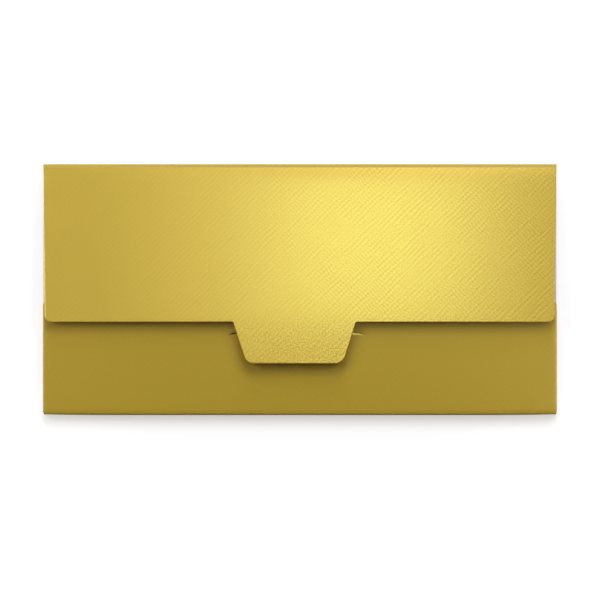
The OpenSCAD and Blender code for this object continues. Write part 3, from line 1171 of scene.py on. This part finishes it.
def make_flap_fold():
    """The bend at the flap's crease, from the spine's wall to the flap."""
    piece = spine_part(
        "flap_crease_bend", (0, CREASE_Y + BOARD / 2, FLAP_CREASE.z - CREASE_INNER_RADIUS), UP,
        TO_BOTTOM, First_Leg=BEND_LEG, First_Bend=flap_bend, Second_Leg=bend_tail, Rows=30,
        Blank_Start=-0.001,
    )
    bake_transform(piece)


# Card insert

INSERT_STEP = 5 * MM
INSERT_CLEAR = 0.5 * MM
# Points behind each card slit: rows along it on either side of its middle, and columns away from it
LIFT_ROWS = 8
LIFT_ROW_SHARE = 8.5
LIFT_COLUMNS = 7
LIFT_COLUMN_STEP = 0.9 * MM


def card_slits():
    """The four corner slits: each one's middle, its direction and the way to the card's corner."""
    card_y = insert_high.y - CARD_DROP - CARD_HEIGHT / 2
    slit_in = CARD_HOLD * math.sin(math.pi / 4)
    found = []
    for side in (-1, 1):
        for end in (-1, 1):
            middle = Vector((side * (CARD_WIDTH / 2 - slit_in), card_y + end * (CARD_HEIGHT / 2 - slit_in)))
            found.append((middle, Vector((1, -side * end)).normalized(), Vector((side, end)).normalized()))
    return found


def make_insert():
    low, high = insert_low, insert_high
    corners = ((low.x, low.y), (high.x, low.y), (high.x, high.y), (low.x, high.y))
    outline = rounded([(x, y, INSERT_RADIUS, CUT_BEVEL) for x, y in corners])
    slit_half = CARD_HOLD + CARD_CLEAR
    slits = card_slits()
    shares = [1 - 2 * step / CARD_SLIT_STEPS for step in range(CARD_SLIT_STEPS + 1)]
    holes = []
    for middle, way, outwards in slits:
        loop = []
        for face in (1, -1):
            edge = outwards * CARD_SLIT_HALF_WIDTH * face
            loop += [middle + way * slit_half * share * face + edge for share in shares]
        if sum(a.x * b.y - b.x * a.y for a, b in around(loop)) > 0:
            loop.reverse()
        holes.append([(point, CARD_SLIT_BEVEL) for point in loop])

    def lifted(x, y, height):
        rise = 0.0
        for middle, way, outwards in slits:
            offset = Vector((x, y)) - middle
            along = abs(offset.dot(way)) / slit_half
            beyond = offset.dot(outwards)
            if along < 1 and beyond > 0:
                rise += CARD_SLIT_LIFT * (1 - along * along) ** 2 * math.exp(-beyond / CARD_SLIT_LIFT_RUN)
        return Vector((x, y, low.z + height + rise))

    columns = spaced(low.x + MM, high.x - MM, INSERT_STEP)
    rows = spaced(low.y + MM, high.y - MM, INSERT_STEP)
    fine = []
    for middle, way, outwards in slits:
        for i in range(-LIFT_ROWS, LIFT_ROWS + 1):
            beside = middle + way * (i * slit_half / LIFT_ROW_SHARE)
            fine += [beside + outwards * (j * LIFT_COLUMN_STEP) for j in range(1, LIFT_COLUMNS + 1)]
    grid = grid_inside(columns, rows, outline, INSERT_CLEAR, holes)
    keep = [spot for spot in grid
            if all((Vector(spot) - other).length > INSERT_CLEAR for other in fine)]
    piece = cut_board(
        "card_holder_insert", outline, keep + fine, lifted, lambda x, y: (x, y), (insert_face,) * 3,
        INSERT_STEP, holes, INSERT_BOARD,
    )
    placed(piece, "wallet", "card_insert")


def make_insert_glue():
    low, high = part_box("insert_glue")
    joined = bmesh.new()
    for side in (-1, 1):
        middle = (side * (high.x - INSERT_GLUE_WIDTH / 2), (low.y + high.y) / 2, (low.z + high.z) / 2)
        strip = grown(
            f"insert_glue_{side}", GLUE_BEAD, Matrix.Translation(middle), Length=high.y - low.y,
            Width=INSERT_GLUE_WIDTH, Thickness=high.z - low.z, Seed=INSERT_GLUE_SEED + side, Material=glue,
        )
        joined.from_mesh(strip.data)
        bpy.data.objects.remove(strip)
    mesh = bpy.data.meshes.new("insert_glue_strips")
    joined.to_mesh(mesh)
    joined.free()
    mesh.materials.append(glue)
    placed(shown("insert_glue_strips", mesh), "wallet", "insert_glue")


make_flap()
make_front()
make_back()
make_bottom_spine()
for make_pair in (make_gusset, make_glue_tab, make_glue_line):
    make_pair(-1, "left")
    make_pair(1, "right")
make_insert()
make_insert_glue()
make_spine_fold()
make_top_spine()
make_flap_fold()


# Studio

FLOOR_REACH = 9.0
FLOOR_DROP = 0.02 * MM
FLOOR_GREY = 0.62
FLOOR_ROUGHNESS = 0.9
# The floor's glow beside the wallet, and far from it where the lamps fall off
FLOOR_GLOW = 0.545
FLOOR_FAR_GLOW = 0.7
FLOOR_FAR = (0.064, 0.1)
FLOOR_WIDE = 0.55
# The white surroundings fade out between these heights of the sky, below the soft boxes
SKY_EDGE = (0.4, 0.75)
CEILING_HEIGHT = 0.9
# Soft boxes that overlap hang at slightly different heights, so that each one is reflected
CEILING_STEP = 0.004
WHITE = (1, 1, 1)

# Soft boxes under the ceiling: name, x range, y range, radiance, colour
CEILING = (
    ("middle_soft_box", (-0.08, 0.12), (0.05, 0.9), 0.9, (0.98, 1.02, 1.06)),
    ("strip_soft_box", (0.02, 0.12), (0.24, 0.9), 0.8, (0.95, 1, 1.06)),
    ("rear_soft_box", (-0.6, 0.6), (0.3, 0.6), 0.1, WHITE),
    ("right_soft_box", (0.28, 0.9), (0.28, 0.9), 4.1, (1.01, 0.99, 1.02)),
    ("right_near_soft_box", (0.28, 0.5), (-0.05, 0.06), 8.5, (1.12, 0.97, 0.84)),
    ("left_near_soft_box", (-0.5, -0.25), (0.06, 0.28), 6.9, (1.04, 1, 0.9)),
    ("left_soft_box", (-0.9, -0.5), (0.28, 0.5), 12.4, (1.03, 1, 0.95)),
    ("right_front_soft_box", (0.1, 0.28), (-0.15, 0), 0.16, WHITE),
    ("left_front_soft_box", (-0.28, -0.1), (-0.15, 0), 0.1, WHITE),
)

# A small soft box near the wallet: name, place, size, radiance, colour
NEAR_BOX = ("near_soft_box", (0.037, 0.1, 0.552), (0.1, 0.1), 1.26, (0.74, 1.1, 1.2))

# Low lamps behind the top edge: name, tilt from overhead, strength
LOW_LAMPS = (("key_lamp", math.radians(43), 0.82), ("back_lamp", math.radians(63), 0.56))
LOW_LAMP_ANGLE = math.radians(22)
LOW_LAMP_COLOUR = (0.97, 0.99, 1.12)

CAMERA_SENSOR = 36
CAMERA_DISTANCE = 3.0
CAMERA_FIELD = 251.0 * MM
CAMERA_PLACE = (0.02 * MM, -4.32 * MM, CAMERA_DISTANCE + 6 * MM)
CAMERA_CLIP = (0.05, 50)


def white_rays(t):
    """1 for the rays that show the plain white surroundings, 0 for those that light the wallet."""
    rays = t.node("ShaderNodeLightPath").outputs
    straight = t.calc("MAXIMUM", rays["Is Camera Ray"], rays["Is Glossy Ray"])
    return t.calc("MAXIMUM", straight, rays["Is Transmission Ray"])


def make_floor():
    mesh = bpy.data.meshes.new("studio_floor")
    corners = [(x * FLOOR_REACH, y * FLOOR_REACH, 0) for x, y in ((-1, -1), (1, -1), (1, 1), (-1, 1))]
    mesh.from_pydata(corners, [], [(0, 1, 2, 3)])
    floor = linked("studio_floor", mesh)
    floor.location.z = -FLOOR_DROP
    material, t, shader = material_tree("white_floor")
    across, along, _ = t.parts(t.node("ShaderNodeTexCoord").outputs["Object"])
    flat = t.joined(t.times(across, FLOOR_WIDE), along, 0.0)
    away = t.fill(t.node("ShaderNodeVectorMath", operation="LENGTH"), flat).outputs["Value"]
    glow = t.ramp(away, *FLOOR_FAR, FLOOR_GLOW, FLOOR_FAR_GLOW)
    t.fill(
        shader, Base_Color=(FLOOR_GREY, FLOOR_GREY, FLOOR_GREY, 1), Roughness=FLOOR_ROUGHNESS,
        Specular_IOR_Level=0.0, Emission_Color=(*WHITE, 1), Emission_Strength=t.times(white_rays(t), glow),
    )
    mesh.materials.append(material)


def make_world():
    world = bpy.data.worlds.new("studio_world")
    bpy.context.scene.world = world
    world.use_nodes = True
    t = Tree(world.node_tree)
    _, _, up = t.parts(t.node("ShaderNodeTexCoord").outputs["Generated"])
    strength = t.times(white_rays(t), t.ramp(up, *SKY_EDGE, 1.0, 0.0))
    t.fill(world.node_tree.nodes["Background"], Color=(*WHITE, 1), Strength=strength)


def lamp(name, kind, energy, colour, **settings):
    data = bpy.data.lights.new(name, kind)
    data.energy = energy
    data.color = colour
    for key, value in settings.items():
        setattr(data, key, value)
    return linked(name, data)


def soft_box(name, place, size, radiance, colour):
    """A lamp that faces straight down, with this size and radiance, which the camera doesn't see."""
    width, depth = size
    energy = radiance * math.pi * width * depth
    made = lamp(name, "AREA", energy, colour, shape="RECTANGLE", size=width, size_y=depth)
    made.location = place
    made.visible_camera = False


def low_lamp(name, tilt, strength):
    """Low light from behind the wallet's top edge, which casts shadows but no glare on the foil."""
    made = lamp(name, "SUN", strength, LOW_LAMP_COLOUR, angle=LOW_LAMP_ANGLE)
    towards = Vector((0, math.sin(tilt), math.cos(tilt)))
    made.rotation_euler = (-towards).to_track_quat("-Z", "Y").to_euler()
    made.visible_glossy = False


def make_camera():
    data = bpy.data.cameras.new("camera")
    data.sensor_width = CAMERA_SENSOR
    data.lens = CAMERA_SENSOR * CAMERA_DISTANCE / CAMERA_FIELD
    data.clip_start, data.clip_end = CAMERA_CLIP
    camera = linked("camera", data)
    camera.location = CAMERA_PLACE
    bpy.context.scene.camera = camera


make_floor()
make_world()
for level, (name, x_range, y_range, radiance, colour) in enumerate(CEILING):
    middle = (sum(x_range) / 2, sum(y_range) / 2, CEILING_HEIGHT + level * CEILING_STEP)
    soft_box(name, middle, (x_range[1] - x_range[0], y_range[1] - y_range[0]), radiance, colour)
soft_box(*NEAR_BOX)
for settings in LOW_LAMPS:
    low_lamp(*settings)
make_camera()
bpy.context.scene.view_settings.view_transform = "Standard"
